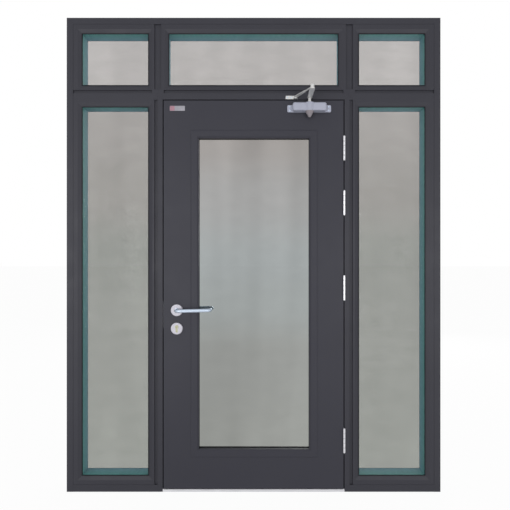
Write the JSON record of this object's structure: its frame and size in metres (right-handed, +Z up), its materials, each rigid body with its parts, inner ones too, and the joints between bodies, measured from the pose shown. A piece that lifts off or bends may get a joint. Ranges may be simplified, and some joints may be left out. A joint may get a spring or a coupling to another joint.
{
  "type": "glazed entrance door with frame",
  "caption": "Glazed steel entrance door set: a hinged leaf with vision pane, lever handles and overhead closer, in a frame with sidelights and top lites.",
  "frame": {"origin": "on the floor, at mid-width and mid-depth of the frame, on the underside of the threshold", "axes": "+X to the right seen from the side the leaf opens to, +Y through the door away from that side, +Z up"},
  "size_m": [2.022, 0.338, 2.565],
  "materials": {
    "frame_coat": "dark grey powder coat, satin",
    "leaf_coat": "dark grey powder coat, satin",
    "glass": "clear float glass with a faint green tint",
    "liner": "teal lined edge of the glazing unit",
    "threshold_alloy": "mill finish",
    "seal": "black extruded seal",
    "hinge_steel": "satin stainless",
    "lever_steel": "satin stainless",
    "lock_steel": "zinc plated",
    "cylinder_brass": "satin brass",
    "closer_coat": "silver enamel",
    "core_board": "mineral board, unseen"
  },
  "bodies": {
    "frame": {"head": "frame_coat", "left_jamb": "frame_coat", "right_jamb": "frame_coat", "left_mullion": "frame_coat", "right_mullion": "frame_coat", "left_transom": "frame_coat", "centre_transom": "frame_coat", "right_transom": "frame_coat", "left_sill": "frame_coat", "right_sill": "frame_coat", "door_lock_jamb": "frame_coat", "door_hinge_jamb": "frame_coat", "door_head": "frame_coat", "left_top_beads": "frame_coat", "centre_top_beads": "frame_coat", "right_top_beads": "frame_coat", "left_side_beads": "frame_coat", "right_side_beads": "frame_coat", "left_top_panes": "glass", "centre_top_panes": "glass", "right_top_panes": "glass", "left_side_panes": "glass", "right_side_panes": "glass", "left_top_liner": "liner", "centre_top_liner": "liner", "right_top_liner": "liner", "left_side_liner": "liner", "right_side_liner": "liner", "threshold": "threshold_alloy", "rebate_seal": "seal", "strike_plate": "lock_steel", "closer_shoe": "closer_coat", "hinge_1_frame_leaf": "hinge_steel", "hinge_2_frame_leaf": "hinge_steel", "hinge_3_frame_leaf": "hinge_steel", "hinge_4_frame_leaf": "hinge_steel", "hinge_pins": "hinge_steel"},
    "leaf": {"leaf_front_skin": "leaf_coat", "leaf_rear_skin": "leaf_coat", "leaf_core": "core_board", "vision_pane": "glass", "vision_beads": "leaf_coat", "hinge_1_door_leaf": "hinge_steel", "hinge_2_door_leaf": "hinge_steel", "hinge_3_door_leaf": "hinge_steel", "hinge_4_door_leaf": "hinge_steel", "lock_case": "lock_steel", "lock_cylinder": "cylinder_brass", "front_roses": "lever_steel", "rear_roses": "lever_steel", "closer_body": "closer_coat", "closer_cap": "closer_coat"},
    "levers": {"front_lever": "lever_steel", "rear_lever": "lever_steel"},
    "latch": {"latch_bolt": "lock_steel"},
    "bolt": {"dead_bolt": "lock_steel"},
    "front_key_plug": {"front_plug": "cylinder_brass"},
    "rear_key_plug": {"rear_plug": "cylinder_brass"},
    "main_arm": {"closer_main_arm": "closer_coat"},
    "forearm": {"closer_forearm": "closer_coat"}
  },
  "joints": [
    {"name": "leaf_swing", "type": "hinge", "parent": "frame", "child": "leaf", "pos_m": [0.4895, -0.07, 1.1], "axis": [0, 0, 1], "range_deg": [0, 90], "stiffness_Nm_per_rad": 10, "springref_deg": -85.94},
    {"name": "lever_turn", "type": "hinge", "parent": "leaf", "child": "levers", "pos_m": [-0.415, -0.0375, 0.983], "axis": [0, 1, 0], "range_deg": [0, 40], "stiffness_Nm_per_rad": 3, "springref_deg": -57.3},
    {"name": "latch_slide", "type": "slide", "parent": "leaf", "child": "latch", "axis": [1, 0, 0], "range_m": [0, 0.0121]},
    {"name": "front_key_turn", "type": "hinge", "parent": "leaf", "child": "front_key_plug", "pos_m": [-0.415, -0.05, 0.8935], "axis": [0, 1, 0], "range_deg": [0, 360]},
    {"name": "bolt_throw", "type": "slide", "parent": "leaf", "child": "bolt", "axis": [-1, 0, 0], "range_m": [0, 0.02]},
    {"name": "rear_key_turn", "type": "hinge", "parent": "leaf", "child": "rear_key_plug", "pos_m": [-0.415, -0.02, 0.8935], "axis": [0, 1, 0], "range_deg": [0, 360]},
    {"name": "main_arm_turn", "type": "hinge", "parent": "leaf", "child": "main_arm", "pos_m": [0.3, -0.0945, 2.1], "axis": [0, 0, 1], "range_deg": [-189, 0]},
    {"name": "forearm_turn", "type": "hinge", "parent": "frame", "child": "forearm", "pos_m": [0.226, -0.0825, 2.13], "axis": [0, 0, 1], "range_deg": [0, 18]}
  ],
  "couplings": [
    {"joint": "latch_slide", "follows": "lever_turn", "m_per_rad": 0.017189},
    {"joint": "front_key_turn", "follows": "bolt_throw", "rad_per_m": 314.16},
    {"joint": "main_arm_turn", "follows": "leaf_swing", "ratio": -2.092},
    {"joint": "forearm_turn", "follows": "leaf_swing", "ratio": 0.19357}
  ]
}
